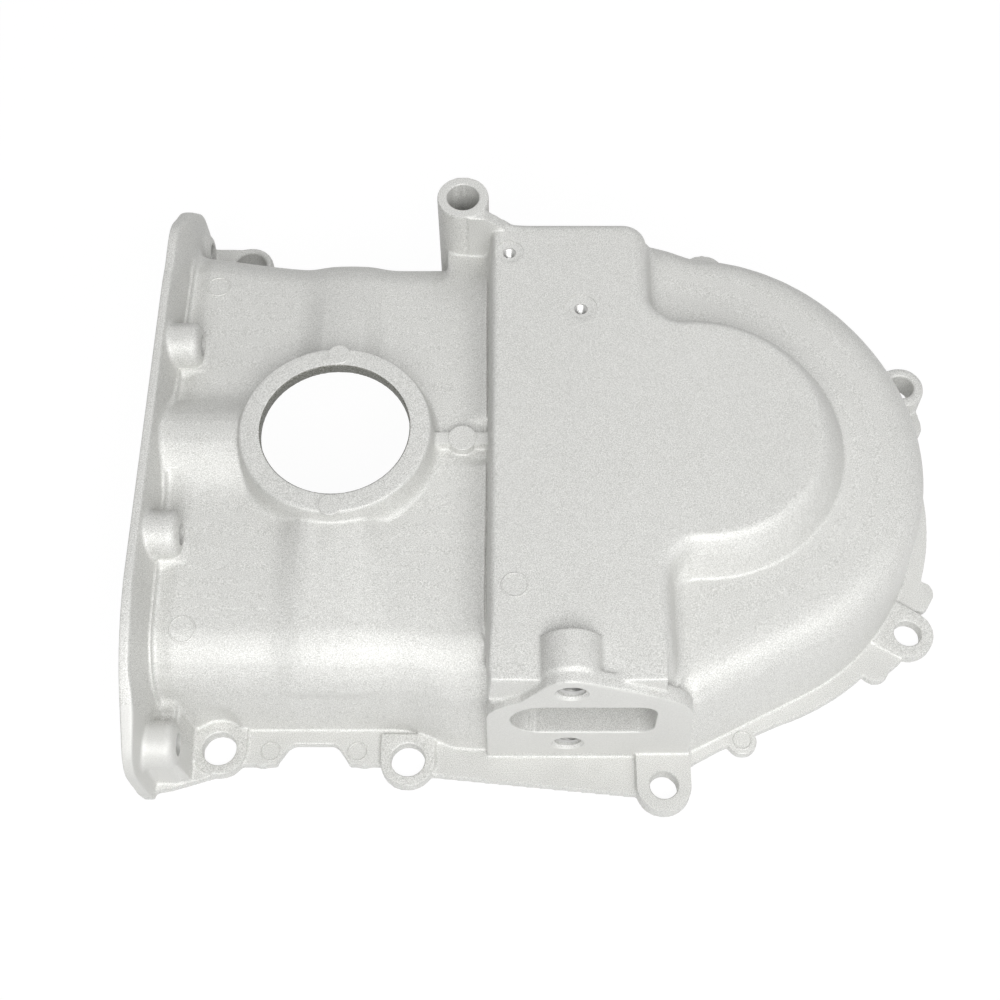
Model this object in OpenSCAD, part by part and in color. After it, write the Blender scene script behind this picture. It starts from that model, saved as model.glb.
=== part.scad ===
// Timing cover of a V engine: one aluminium casting with a gear housing, a crank seal ring and a pump flange.
// Origin on the crank axis in the gasket face, +X towards the cam axis, +Z away from the engine block.

/* [Levels] */
// Thickness of the thin rim that meets the block
rim_t = 4; // [3:0.5:7]
// Height of the ear pads at the rim
pad_t = 5.5; // [4.5:0.5:9]
// Height of the high flat of the gear housing
plateau_z = 66.6; // [58:0.2:75]
// Height of the terrace around the high flat
terrace_z = 51; // [46:0.5:54]
// Height of the vault between the pan flange and the step
vault_z = 51; // [44:0.5:56]
// Height of the seal ring's front face
ring_z = 64.2; // [58:0.2:72]
// Height of the long bolt tube
tube_z = 74; // [66:0.5:84]
// Wall of the casting
wall = 4.5; // [3.5:0.25:6]

/* [Gear housing] */
// Distance from the crank axis to the cam axis
cam_x = 132; // [125:0.5:140]
// Radius of the high flat's round end
plateau_r = 49.5; // [44:0.5:54]
// Radius of the terrace wall about the cam axis
terrace_r = 88.8; // [84:0.2:92]
// Radius of the rim about the cam axis
rim_r = 95.2; // [92:0.2:100]
// Place of the step between the vault and the high flat
step_x = 56; // [52:0.5:60]
// Right edge of the high flat on the pump side
right_near = 118.6; // [114:0.2:122]
// Right edge of the high flat on the far side
right_far = 116.2; // [112:0.2:120]
// Near edge of the high flat, behind the pump flange
plateau_near = 97; // [94:0.5:98]
// Far edge of the high flat
plateau_far = 93; // [88:0.5:95]
// Fillet in the plan of the two notches beside the round end
notch_r = 10.5; // [9:0.5:14]
// Rounding of the high flat's edge
plateau_round = 5; // [3:0.5:7]
// Rounding of the high flat's edge behind the pump flange
near_round = 4.5; // [3:0.5:7]
// Fillet at the foot of the high flat's wall
foot_round = 5; // [3:0.5:6]
// Rounding of the terrace's outer edge
terrace_round = 12.5; // [10:0.5:16]
// Near edge of the terrace where the pump flange stands
terrace_near = 101; // [98:0.5:102]
// Far edge of the terrace beside the high flat
terrace_far = 101; // [98:0.5:102]

/* [Vault] */
// Half width of the vault at the rim
vault_half = 92.8; // [90:0.2:98]
// Rounding of the vault's shoulders
shoulder_r = 22; // [16:0.5:26]
// Half width of the tunnel between the seal ring and the pan flange
tunnel_r = 25; // [22:0.5:30]
// How far the tunnel's crown lies to the far side
tunnel_y = 1; // [0:0.5:4]
// Height of the tunnel's crown
tunnel_z = 62.5; // [58:0.5:64]
// How much the vault is crowned
crown = 2.5; // [0:0.5:4]
// Half width of the ramp on the near side of the seal ring
ramp_half = 16; // [12:0.5:20]
// Half width of the ramp on the far side of the seal ring
ramp_far = 13; // [10:0.5:18]
// Height of the ramp beside the seal ring
ramp_z = 59; // [56:0.5:62]
// Width over which the ramp's sides fade into the vault
ramp_fade = 13; // [8:0.5:16]

/* [Seal ring] */
// Radius of the throat in front of the seal
throat_r = 27; // [24:0.1:30]
// Radius of the seal's seat behind the throat
seat_r = 32; // [30:0.1:33]
// Depth of the throat
throat_h = 4.9; // [4:0.1:7]
// Depth of the seal's seat
seat_h = 7; // [6:0.5:9]
// Outer radius of the ring's face
ring_r = 34.4; // [33:0.2:37]
// Radius of the ring's foot
ring_foot_r = 38; // [37:0.5:44]
// Thickness of the rib between the ring and the step
rib_t = 5; // [3:0.5:8]
// Height of the rib
rib_z = 57; // [54:0.5:60]

/* [Pump flange] */
// Distance of the pump face from the crank axis
pump_y = 102.8; // [102:0.1:106]
// Thickness of the pump flange
pump_t = 6; // [5:0.2:9]
// Middle of the pump bolts along the housing
pump_x = 84; // [80:0.5:90]
// Height of the lower pump bolt
pump_low_z = 16.7; // [14:0.1:20]
// Distance between the two pump bolts
pump_pitch = 46.4; // [42:0.1:50]
// Tapping drill radius of the pump bolts
pump_bolt_r = 4; // [3:0.05:5]
// Depth of the pump bolt holes
pump_bolt_h = 18; // [14:0.5:20]
// Radius of the bosses behind the pump bolts
pump_boss_r = 11; // [9:0.5:13]
// Left end of the arm slot
slot_x0 = 63.4; // [60:0.2:68]
// Right end of the arm slot
slot_x1 = 113.8; // [108:0.2:118]
// Height of the arm slot's lower edge
slot_z0 = 27.4; // [25:0.2:30]
// Height of the arm slot
slot_h = 23.2; // [18:0.2:26]
// How far the arm slot runs in from the pump face
slot_depth = 15; // [12:0.5:20]

/* [Pan flange] */
// Distance of the pan face from the crank axis
pan_x = 68.3; // [64:0.1:72]
// Thickness of the pan flange
pan_t = 6.4; // [5:0.2:9]
// Height of the pan flange's crown
pan_z = 68.4; // [66:0.2:76]
// Distance of the inner pan bolts from the middle
pan_inner_y = 40.2; // [36:0.2:44]
// Height of the inner pan bolts
pan_inner_z = 58; // [56:0.2:61]
// Distance of the outer pan bolts from the middle
pan_outer_y = 107; // [104:0.2:110]
// Height of the outer pan bolts
pan_outer_z = 27; // [22:0.2:32]
// Tapping drill radius of the pan bolts
pan_bolt_r = 3.35; // [3:0.05:4]
// Radius of the bosses behind the pan bolts
pan_boss_r = 8.4; // [7:0.2:10]
// How far the bosses stand in from the pan flange
pan_boss_h = 7.4; // [4:0.2:9]

/* [Bolt holes] */
// Radius of the large clearance holes
large_r = 6.15; // [5.5:0.05:6.5]
// Radius of the small clearance holes
small_r = 5.05; // [4.5:0.05:5.5]
// Outer radius of the long bolt tube
tube_r = 10; // [9:0.1:12]
// Place of the long bolt tube along X
tube_x = 45.2; // [42:0.2:48]
// Place of the long bolt tube along Y
tube_y = 98.4; // [97:0.2:101]
// Tapping drill radius of the pointer screws
pointer_r = 2.1; // [1.6:0.05:2.6]
// Radius of the spot faces round the pointer screws
pointer_spot_r = 5; // [4:0.1:6]

/* [Hidden] */
deep = rim_t * 0.4;
shoulder_y = vault_half - 2.4 - shoulder_r;
slot_end = 6;
relief_gap = 4.4;
relief_r = seat_r + relief_gap;
pan_foot = 117.6;
scoop_r = 11.2;
scoop_z = 15;
pan_low_h = 2.6;
pointer_h = 11;
pointers = [[63.1, 77.6], [90, 51.3]];
pump_high_z = pump_low_z + pump_pitch;
pan_in = pan_x - pan_t;
seat_z = ring_z - throat_h - seat_h;
silver = [0.78, 0.79, 0.78];
// Ears as place along X, place along Y, outer radius, hole radius, pad height
ear_a = [-42.2, -vault_half - 7.8, 9.9, large_r, pad_t];
ear_b = [26.4, -vault_half - 12, 10, large_r, pad_t];
ear_c = [cam_x - 13.4, -terrace_near - 13.8, 9.9, small_r, pad_t + 1.5];
ear_d = [cam_x + 81.4, -54.8, 9.8, small_r, pad_t];
ear_e = [cam_x + 90, 51.7, 9.3, small_r, pad_t + 6.5];
ear_g = [cam_x + 13.5, terrace_far + 10.5, 9.6, small_r, pad_t];
ear_h = [-46.3, vault_half + 19, 9.4, large_r, pad_t + 8.5];
// Small lugs on the rim as place along X, place along Y, radius
low_lug = [cam_x + 92.4, 37.6, 6];
lugs = [[cam_x + 16.2, -97, 5.4], [cam_x + 67.9, -68.6, 5.2], [cam_x + 89, -37.2, 4.8], low_lug,
        [28.9, vault_half + 12.7, 9.5], [-26.5, -vault_half - 5.2, 8.6], [10.5, -vault_half - 5.2, 8.6]];

function mix(a, b, w) = a + (b - a) * w;
function clamp01(v) = min(1, max(0, v));
function soft(v) = let (c = clamp01(v)) c * c * (3 - 2 * c);

// Plan points with their outward directions: x, y, dx, dy
function arc(c, r, a0, a1, n, s) = [for (i = [0 : n - 1]) let (a = mix(a0, a1, i / n))
    [c.x + r * cos(a), c.y + r * sin(a), s * cos(a), s * sin(a)]];
function line(p, q, d, n) = [for (i = [0 : n - 1]) concat(mix(p, q, i / n), d)];

// Centre of a notch fillet that touches the wall x and the round end, below (s = -1) or above (s = 1) the cam axis
function notch(x, s) = [x + notch_r, s * sqrt(pow(plateau_r + notch_r, 2) - pow(x + notch_r - cam_x, 2))];
function notch_end(c) = atan2(c.y, c.x - cam_x);

// Outline of the high flat, and the outline of the terrace with as many points in the same order
function plateau_line(n) = let (a = notch(right_near, -1), b = notch(right_far, 1), ra = 9, rb = 9)
    concat(
        line([step_x, -plateau_near], [right_near - ra, -plateau_near], [0, -1], n),
        arc([right_near - ra, ra - plateau_near], ra, -90, 0, n, 1),
        line([right_near, ra - plateau_near], [right_near, a.y], [1, 0], n),
        arc(a, notch_r, 180, notch_end(a) + 180 , 2 * n, -1),
        arc([cam_x, 0], plateau_r, notch_end(a), notch_end(b), 8 * n, 1),
        arc(b, notch_r, notch_end(b) + 180, 180, 2 * n, -1),
        line([right_far, b.y], [right_far, plateau_far - rb], [1, 0], n),
        arc([right_far - rb, plateau_far - rb], rb, 0, 90, 2 * n, 1),
        line([right_far - rb, plateau_far], [step_x, plateau_far], [0, 1], n),
        [for (k = line([step_x, plateau_far], [step_x, -plateau_near], [0, 0], 2 * n))
            [k[0], k[1], -0.45 * soft((k[1] + plateau_near) / 25), 0]]);
// The round end of the terrace, which swells towards its far side
function swell(a) = 5 * soft((a - 25) / 60);
function end_arc(a0, a1, n) = [for (i = [0 : n - 1]) let (a = mix(a0, a1, i / n), r = terrace_r + swell(a))
    [cam_x + r * cos(a), r * sin(a), cos(a), sin(a)]];
function terrace_line(n) = let (p = [cam_x - 2.5, -terrace_near], o = [cam_x, 0],
        t = atan2(p.y, p.x - cam_x) + acos(terrace_r / norm(p - o)), q = o + terrace_r * [cos(t), sin(t)],
        v = o + (terrace_r + swell(87)) * [cos(87), sin(87)], u = [cam_x - 4.5, terrace_far - 3.2])
    concat(
        line([step_x + 0.3, -terrace_near], [cam_x - 16, -terrace_near], [0, -1], n),
        line([cam_x - 16, -terrace_near], p, [0, -1], n),
        line(p, mix(p, q, 0.5), [cos(t), sin(t)], n),
        line(mix(p, q, 0.5), q, [cos(t), sin(t)], 2 * n),
        end_arc(t, 40, 8 * n),
        end_arc(40, 87, 2 * n),
        line(v, u, [0.3, 0.95], n),
        line(u, [cam_x - 15, terrace_far], [0.2, 0.98], 2 * n),
        line([cam_x - 15, terrace_far], [step_x + 0.3, terrace_far], [0, 1], n),
        line([step_x + 0.3, terrace_far], [step_x + 0.3, -terrace_near], [0, 0], 2 * n));

// One ring of the housing: each plan point p moved out by d along its direction, at height z
function put(p, d, z) = [p[0] + d * p[2], p[1] + d * p[3], z];
// Behind the pump flange the foot flares less and the terrace's edge is nearly sharp
function near_share(p) = p[1] < 9 - plateau_near ? soft(-p[3]) : 0;
function foot_out(p) = mix(foot_round, 2, near_share(p));
function rim_round(q) = q[3] < -0.95 ? mix(1.5, terrace_round, soft((q[0] - right_near + 4) / 12)) : terrace_round;
// The outer wall leans in, less so on the far side
function draft(q) = mix(2.6, 0.8, soft(q[3]));
function edge_round(p) = mix(plateau_round, near_round, near_share(p));

// A solid through rings of equal length, closed by its first and last ring
module loft(rings) {
    n = len(rings[0]);
    m = len(rings);
    polyhedron(
        points = [for (r = rings) each r],
        faces = concat(
            [[for (i = [n - 1 : -1 : 0]) i]],
            [for (k = [0 : m - 2], i = [0 : n - 1]) each
                [[k * n + i, (k + 1) * n + (i + 1) % n, (k + 1) * n + i],
                 [k * n + i, k * n + (i + 1) % n, (k + 1) * n + (i + 1) % n]]],
            [[for (i = [0 : n - 1]) (m - 1) * n + i]]),
        convexity = 8);
}

// Gear housing: high flat, drafted wall, foot fillet, terrace, rounded edge and outer wall, set in by t
module housing(t, n, low, bends) {
    p = plateau_line(n);
    q = terrace_line(n);
    zt = terrace_z - t;
    loft(concat(
        [for (b = bends) let (c = 1 - cos(b), s = 1 - sin(b))
            [for (k = p) let (r = edge_round(k)) put(k, -r * s - t, plateau_z - t - r * c)]],
        [for (b = bends) let (c = 1 - cos(b), s = 1 - sin(b))
            [for (k = p) put(k, 1.4 + foot_out(k) * c - t, zt + foot_round * s)]],
        [for (b = bends) let (c = 1 - cos(b), s = 1 - sin(b))
            [for (k = q) let (r = rim_round(k)) put(k, -draft(k) - r * s - t, zt - 0.8 - r * c)]],
        [[for (k = q) put(k, -t, low)]]));
}

// Section of the vault as distance across and height, then its outward direction, from the near foot over the top
function half_section(bends, flats) = concat(
    [[vault_half, deep, 1, 0], [vault_half - 0.9, 14, 1, 0]],
    [for (b = bends) [shoulder_y + shoulder_r * cos(b), vault_z - shoulder_r + shoulder_r * sin(b), cos(b), sin(b)]],
    [for (f = flats) [f, vault_z, 0, 1]]);
function section(bends, flats) = let (h = half_section(bends, flats), n = len(h))
    concat([for (k = h) [-k[0], k[1], -k[2], k[3]]], [for (i = [n - 2 : -1 : 0]) h[i]]);

// Height over the vault's flat where the tunnel and the ramp stand, at x and y
function tunnel_at(y) = (tunnel_z - vault_z - crown) * (1 + cos(180 * min(1, abs(y - tunnel_y) / tunnel_r))) / 2;
function ramp_at(y) = mix(ramp_z, vault_z + 1.5, clamp01((abs(y) - ring_r) / (shoulder_y + 4 - ring_r)));
function ramp_share(x, y) = 1 - soft((abs(x) - (y < 0 ? ramp_half : ramp_far)) / ramp_fade + 0.6);
function lift(x, y, z) = let (
        c = z + crown * (1 - pow(min(1, abs(y) / shoulder_y), 2)),
        t = x < -20 ? c + tunnel_at(y) : c)
    mix(t, max(t, ramp_at(y)), ramp_share(x, y));
// One station of the vault at x, set in by t, with the near wall flared to the pump flange and the far one to the pan
function station(s, x, t, low) = [for (k = s) let (
        out = k[3] < 0.999 && k[3] > 0 ? 1.8 * ramp_share(x, k[0]) : 0,
        flare = k[0] < 0 ? -8 * soft((x - 22) / 26) * (1 - 0.75 * clamp01(k[1] / vault_z))
            : k[0] > shoulder_y - 12 ? 1.2 + 7 * pow(clamp01((-x - 12) / 48), 1.4) : 0,
        z = k[3] > 0.999 ? lift(x, k[0], k[1]) : k[1])
    [x, k[0] + (out - t) * k[2] + flare, max(low, z + (out - t) * k[3])]];
module vault(t, x0, x1, xs, bends, flats, low) {
    s = section(bends, flats);
    loft([for (x = concat([x0], xs, [x1])) let (r = station(s, x, t, low), n = len(r))
        concat([[x, r[0].y, low]], [for (i = [1 : n - 2]) r[i]], [[x, r[n - 1].y, low]])]);
}

// Outside of the blended shell
module shell_outside() {
    housing(0, 4, deep, [0, 22, 45, 68, 88]);
    vault(0, -pan_in - 3, step_x + 2,
        [-50, -42, -34, -27, -22, -20.2, -19.8, -17, -14, -11, -8, -3, 3, 8, 11, 14, 17, 20, 25, 31, 37, 43, 50],
        [0, 15, 30, 45, 60, 75], [66, 58, 48, 40, 34, 29, 26, 22.5, 19, 15.5, 12, 8, 4, 0], deep);
}
// Room for the gears and the chain, open at the gasket face and at the pan face, with the bosses that stand in it
module room() {
    difference() {
        union() {
            housing(wall, 2, -1, [0, 45, 88]);
            vault(wall, -pan_x - 1, step_x + 8, [-40, -21, -19, -13, 0, 13, 19, 30, 46],
                [0, 30, 60, 85], [60, 46, 34, 26, 22, 14, 0], -1);
        }
        translate([0, 0, seat_z - 8]) cylinder(r = ring_foot_r + 3, h = ring_z, $fn = 96);
        for (z = [pump_low_z, pump_high_z]) translate([pump_x, -pump_y, z]) rotate([-90, 0, 0])
            cylinder(r = pump_bolt_r + wall, h = pump_bolt_h + 3, $fn = 40);
        translate([slot_x0 - wall, -pump_y, slot_z0 - wall])
            cube([slot_x1 - slot_x0 + 2 * wall, slot_depth, slot_h + 2 * wall]);
        translate([ear_a[0], ear_a[1], -2]) cylinder(r = scoop_r + wall, h = scoop_z + 2, $fn = 48);
        translate([ear_a[0], ear_a[1], scoop_z]) sphere(r = scoop_r + wall, $fn = 48);
        translate([tube_x, tube_y, -2]) cylinder(r = tube_r, h = tube_z, $fn = 48);
        for (q = pointers) translate([q.x, q.y, plateau_z - pointer_h - 2]) cylinder(r = pointer_r + 3, h = 20, $fn = 32);
    }
}

// The blended shell, as one mesh because its blends have no exact form
module shell() {
    resize([0, 0, 0]) difference() {
        shell_outside();
        room();
    }
}

module ear(e, to) {
    a = atan2(to.y - e[1], to.x - e[0]);
    d = norm(to - [e[0], e[1]]);
    translate([e[0], e[1], 0]) rotate(a) linear_extrude(e[4])
        polygon([for (k = concat(arc([0, 0], e[2], 90, 270, 48, 1), [[0, -e[2]], [d, -e[2]], [d, e[2]]])) [k[0], k[1]]]);
}
// Near edge of the rim, from the pan flange past three ears
rim_near = [[-pan_x + 2, -pan_foot + 0.1], [ear_a.x, ear_a.y - 9.4], [ear_a.x + 8.9, ear_a.y - 5.4],
    [ear_b.x - 10.5, ear_b.y - 1.2], [ear_b.x + 9.7, ear_b.y - 5.4], [ear_c.x - 10.1, ear_c.y - 2.6],
    [ear_c.x, ear_c.y], [ear_c.x + 11.1, ear_c.y + 9.1]];
// Thin rim at the gasket face with its scallop and small lugs
module rim() {
    linear_extrude(rim_t) difference() {
        union() {
            translate([cam_x, 0]) circle(r = rim_r, $fn = 160);
            polygon(concat(rim_near, [[cam_x + 8.3, -terrace_near + 1.1], [cam_x + 38, -terrace_r + 1.8], [cam_x, 0],
                [cam_x + 38, terrace_r - 1.8], [cam_x + 8, terrace_far], [cam_x - 4, terrace_far + 6],
                [cam_x - 32, terrace_far + 3], [step_x - 4, vault_half + 13.2], [10, vault_half + 13.2],
                [-36, pan_foot - 0.6], [-pan_x + 2, pan_foot - 0.1]]));
            polygon([[ear_e.x - 8, ear_e.y], [ear_e.x + 7, ear_e.y - 5.8], [low_lug.x + low_lug[2], low_lug.y + 0.5],
                [low_lug.x - 4, low_lug.y - 4]]);
            for (l = lugs) translate([l[0], l[1]]) circle(r = l[2], $fn = 40);
        }
        polygon([for (k = terrace_line(2)) [k[0] - 2 * k[2], k[1] - 2 * k[3]]]);
        translate([-pan_x - 1, 2 - vault_half]) square([pan_x + step_x + 2, 2 * vault_half - 4]);
        translate([0, -vault_half]) polygon([[-17.2, -6.6], [-15.2, -5.6], [-1, -5.6], [0.9, -6.6], [4.4, -11.7],
            [6, -15.2], [-22, -15.2], [-20.6, -11.7]]);
    }
}
module ears() {
    ear(ear_a, [ear_a.x, 2.8 - vault_half]);
    ear(ear_b, [ear_b.x, -vault_half - 2.2]);
    ear(ear_c, [ear_c.x, 2 - terrace_near]);
    ear(ear_d, [cam_x, 0] + terrace_r * [cos(-34), sin(-34)]);
    ear(ear_e, [cam_x, 0] + terrace_r * [cos(31), sin(31)]);
    ear(ear_g, [cam_x, 0] + terrace_r * [cos(83), sin(83)]);
    ear(ear_h, [ear_h.x, vault_half + 4]);
    translate([-pan_in - 1, vault_half, 0])
        cube([ear_h.x + pan_in + 1, ear_h.y + ear_h[2] - 1.2 - vault_half, ear_h[4]]);
}

// Seal ring on its flared foot, its two marks, and the rib to the step
module ring() {
    translate([0, 0, vault_z - 3]) rotate_extrude($fn = 120)
        polygon([[throat_r - 1, 0], [ring_foot_r + 2, 0], [ring_foot_r + 2, 4.4], [ring_foot_r, 5.2],
            [ring_foot_r - 1.3, 6.6], [ring_foot_r - 2, 8.4], [ring_r + 0.6, ring_z - vault_z + 2],
            [ring_r, ring_z - vault_z + 3], [throat_r - 1, ring_z - vault_z + 3]]);
    for (s = [-1, 1]) translate([0, s * (ring_r - 2.6), ring_z - 1]) cylinder(r = 4, h = 1.35, $fn = 40);
    translate([ring_r - 2, -rib_t / 2, vault_z - 6]) cube([step_x - ring_r + 4, rib_t, rib_z - vault_z + 6]);
    translate([(ring_r + step_x) / 2 + 0.8, 0, vault_z - 6]) cylinder(r = 5, h = rib_z - vault_z + 6.35, $fn = 40);
}

// Pump flange as X and Z, with the boss of its upper bolt
module pump_flange() {
    translate([pump_x, pump_t - pump_y, 0]) rotate([90, 0, 0]) linear_extrude(pump_t)
        polygon([[-28.8, 0], [-28.8, 41], [-28.1, 44.6], [-25.8, 48.4], [-22.4, 51.6], [-17.2, 55.4],
            [-11.6, pump_high_z + 0.9], [-8.8, pump_high_z + 5.7], [-5.4, pump_high_z + 8.7], [-2, pump_high_z + 9.8],
            [2, pump_high_z + 9.8], [5.4, pump_high_z + 8.7], [22.4, pump_high_z + 0.5], [32.8, 57.6], [37.6, 53.8],
            [40.6, 49.6], [42, 45], [44.2, 0]]);
    translate([pump_x, -pump_y + pump_t - 1, pump_high_z]) rotate([-90, 0, 0])
        cylinder(r = pump_boss_r, h = 14.5, $fn = 64);
}
// Bolt holes of the pump with their countersinks, and the slot for the pump's arm
module pump_cuts() {
    for (z = [pump_low_z, pump_high_z]) translate([pump_x, -pump_y - 1, z]) rotate([-90, 0, 0]) {
        cylinder(r = pump_bolt_r, h = pump_bolt_h + 1, $fn = 64);
        cylinder(r1 = pump_bolt_r + 1.9, r2 = pump_bolt_r, h = 1.9, $fn = 64);
    }
    translate([0, slot_depth + 1 - pump_y, slot_z0]) rotate([90, 0, 0]) linear_extrude(slot_depth + 3)
        polygon([for (k = concat(
            arc([slot_x0 + slot_h / 2, slot_h / 2], slot_h / 2, 90, 270, 24, 1), [[slot_x0 + slot_h / 2, 0]],
            arc([slot_x1 - slot_end, slot_end], slot_end, 270, 360, 8, 1), [[slot_x1, slot_end]],
            arc([slot_x1 - slot_end, slot_h - slot_end], slot_end, 0, 90, 8, 1), [[slot_x1 - slot_end, slot_h]]))
            [k[0], k[1]]]);
}

// Half of the pan flange's arch as Y and Z: the crown, a straight, the corner and the foot
function pan_half() = let (r = 70, m = 38, c = [58, pan_z - r], k = 16.4,
        f = c + r * [sin(m), cos(m)] + 17 * [cos(m), -sin(m)] - k * [sin(m), cos(m)])
    concat([for (i = [0 : 10]) c + r * [sin(m * i / 10), cos(m * i / 10)]],
        [for (i = [0 : 10]) let (a = mix(m, 90, i / 10)) f + k * [sin(a), cos(a)]],
        [[pan_foot + 2.6, 12], [pan_foot + 0.8, 1], [pan_foot, 0]]);
module pan_flange() {
    h = pan_half();
    n = len(h);
    translate([-pan_x, 0, 0]) rotate([90, 0, 90]) linear_extrude(pan_t)
        difference() {
            polygon(concat(h, [for (i = [n - 1 : -1 : 0]) [-h[i].x, h[i].y]]));
            polygon([for (k = concat(station(section([0, 30, 60, 85], [60, 46, 34, 26, 22, 14, 0]), -pan_in, wall, -1)))
                [k.y, k.z]]);
            translate([wall - vault_half, -2]) square([2 * (vault_half - wall), 6]);
        }
    for (s = [-1, 1]) pan_boss(s * pan_inner_y, pan_inner_z, pan_boss_h);
    pan_boss(-pan_outer_y, pan_outer_z, pan_boss_h);
    pan_boss(pan_outer_y, pan_outer_z, pan_low_h);
    translate([-pan_in - 1, -pan_outer_y - 6, 0]) cube([pan_boss_h, pan_outer_y + 9 - vault_half, pan_outer_z]);
    translate([-pan_in - 1, vault_half - 3, 0]) cube([pan_low_h, pan_outer_y + 9 - vault_half, pan_outer_z]);
}
module pan_boss(y, z, h) {
    translate([-pan_in - 2, y, z]) rotate([0, 90, 0]) rotate_extrude($fn = 48)
        polygon([[0, 0], [pan_boss_r, 0], [pan_boss_r, h], [pan_boss_r - 0.7, h + 1.3], [pan_boss_r - 2.2, h + 2],
            [0, h + 2]]);
}
module pan_cuts() {
    for (s = [-1, 1], b = [[pan_inner_y, pan_inner_z], [pan_outer_y, pan_outer_z]])
        translate([-pan_x - 1, s * b.x, b.y]) rotate([0, 90, 0])
            cylinder(r = pan_bolt_r, h = pan_t + pan_boss_h + 4, $fn = 48);
}

// Long bolt tube, the shelf that squares the vault's shoulder beside it, and its web to the high flat
module tube() {
    y = shoulder_y + 1.2;
    translate([tube_x, tube_y, 0]) cylinder(r = tube_r, h = tube_z, $fn = 64);
    translate([tube_x - 6.5, 0, 0]) rotate([90, 0, 90]) linear_extrude(step_x - tube_x + 7.5)
        polygon(concat([[tube_y, vault_z - shoulder_r], [tube_y, vault_z - 0.4], [y, vault_z - 0.4]],
            [for (a = [80 : -10 : 0]) [y, vault_z - shoulder_r] + (shoulder_r - 2) * [cos(a), sin(a)]]));
    translate([0, plateau_far, 0]) rotate([90, 0, 0]) linear_extrude(5)
        polygon([[tube_x + 2, vault_z - 10], [tube_x + 2, tube_z - 0.6], [tube_x + tube_r - 1.6, tube_z - 0.6],
            [tube_x + 21, plateau_z - 4], [tube_x + 21, vault_z - 10]]);
}

// Seal seat, throat and every drilled hole
module holes() {
    translate([0, 0, seat_z - 1]) cylinder(r = seat_r, h = seat_h + 1, $fn = 160);
    translate([0, 0, seat_z - 15]) cylinder(r = relief_r, h = 15, $fn = 160);
    translate([0, 0, ring_z - throat_h - 1]) cylinder(r = throat_r, h = throat_h + 3, $fn = 160);
    for (e = [ear_a, ear_b, ear_c, ear_d, ear_e, ear_g, ear_h]) translate([e[0], e[1], -1])
        cylinder(r = e[3], h = e[4] + 2, $fn = 96);
    translate([tube_x, tube_y, -1]) cylinder(r = large_r, h = tube_z + 2, $fn = 96);
    for (q = pointers) translate([q.x, q.y, plateau_z - pointer_h]) {
        cylinder(r = pointer_r, h = pointer_h + 1, $fn = 48);
        translate([0, 0, pointer_h - 0.6]) cylinder(r = pointer_spot_r, h = 3, $fn = 64);
    }
}
// Room for the bolt head at the ear beside the pan flange, under a dome
module scoop() {
    translate([ear_a[0], ear_a[1], ear_a[4]]) rotate_extrude($fn = 64)
        polygon(concat([[0, 0], [scoop_r, 0]],
            [for (a = [0 : 10 : 90]) [scoop_r * cos(a), scoop_z - ear_a[4] + scoop_r * sin(a)]]));
}
module timing_cover() {
    color(silver) difference() {
        union() {
            shell();
            rim();
            pan_flange();
            tube();
            ring();
            pump_flange();
            ears();
        }
        scoop();
        holes();
        pump_cuts();
        pan_cuts();
    }
}

timing_cover();
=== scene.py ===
# %% [markdown]
# # A cast timing cover
# The cover closes the front of a V engine. It is one aluminium casting: a gear housing with a high flat, a vault
# round the crank seal, an arched flange for the oil pan, a flange for the fuel pump and a thin rim with ears. The
# frame brings its true size and place, and this script gives it the softness, grain and threads of the real one.

# %% Load the frame
import math

import bmesh
import bpy
import numpy as np
from mathutils import Matrix, Vector
from mathutils.bvhtree import BVHTree


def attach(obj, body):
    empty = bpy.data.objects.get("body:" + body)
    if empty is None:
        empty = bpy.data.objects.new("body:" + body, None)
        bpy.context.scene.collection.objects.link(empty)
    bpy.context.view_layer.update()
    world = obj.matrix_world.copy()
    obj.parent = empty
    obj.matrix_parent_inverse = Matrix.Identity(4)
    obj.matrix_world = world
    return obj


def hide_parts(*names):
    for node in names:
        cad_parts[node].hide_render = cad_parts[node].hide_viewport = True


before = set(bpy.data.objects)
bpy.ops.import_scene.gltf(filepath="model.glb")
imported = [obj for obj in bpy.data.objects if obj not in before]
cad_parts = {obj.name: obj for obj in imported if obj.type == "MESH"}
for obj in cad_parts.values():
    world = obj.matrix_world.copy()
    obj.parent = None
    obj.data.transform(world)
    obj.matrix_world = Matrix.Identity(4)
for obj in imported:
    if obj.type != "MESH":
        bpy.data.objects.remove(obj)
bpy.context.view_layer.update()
scene = bpy.context.scene
MM = 0.001

# %% [markdown]
# ## Camera
# The photograph looks down on the cover from the pump's side, a little to the right of the crank. The lens and
# the place were fitted to the bolt holes, so the camera needs only a very small shift.

# %% Camera
EYE_MM = (64.3, -300.9, 554.5)
LOOK_DOWN_DEG = 61.17
lens = bpy.data.cameras.new("studio_camera")
lens.sensor_width = 36
lens.lens = 57.22
lens.shift_x, lens.shift_y = -0.01245, 0.0029
lens.clip_start = 0.01
camera = bpy.data.objects.new("studio_camera", lens)
camera.location = Vector(EYE_MM) * MM
camera.rotation_euler = (math.radians(90 - LOOK_DOWN_DEG), 0, 0)
scene.collection.objects.link(camera)
scene.camera = camera
scene.view_settings.view_transform = "Standard"
print("camera at", tuple(round(v, 3) for v in camera.location))

# %% [markdown]
# ## Shader sums
# Node trees are easier to read as formulas. A Knot is one output of a node, and arithmetic on it adds Math nodes.
# Any other node comes from one method that takes its type, its settings and what goes into its sockets.


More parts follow.
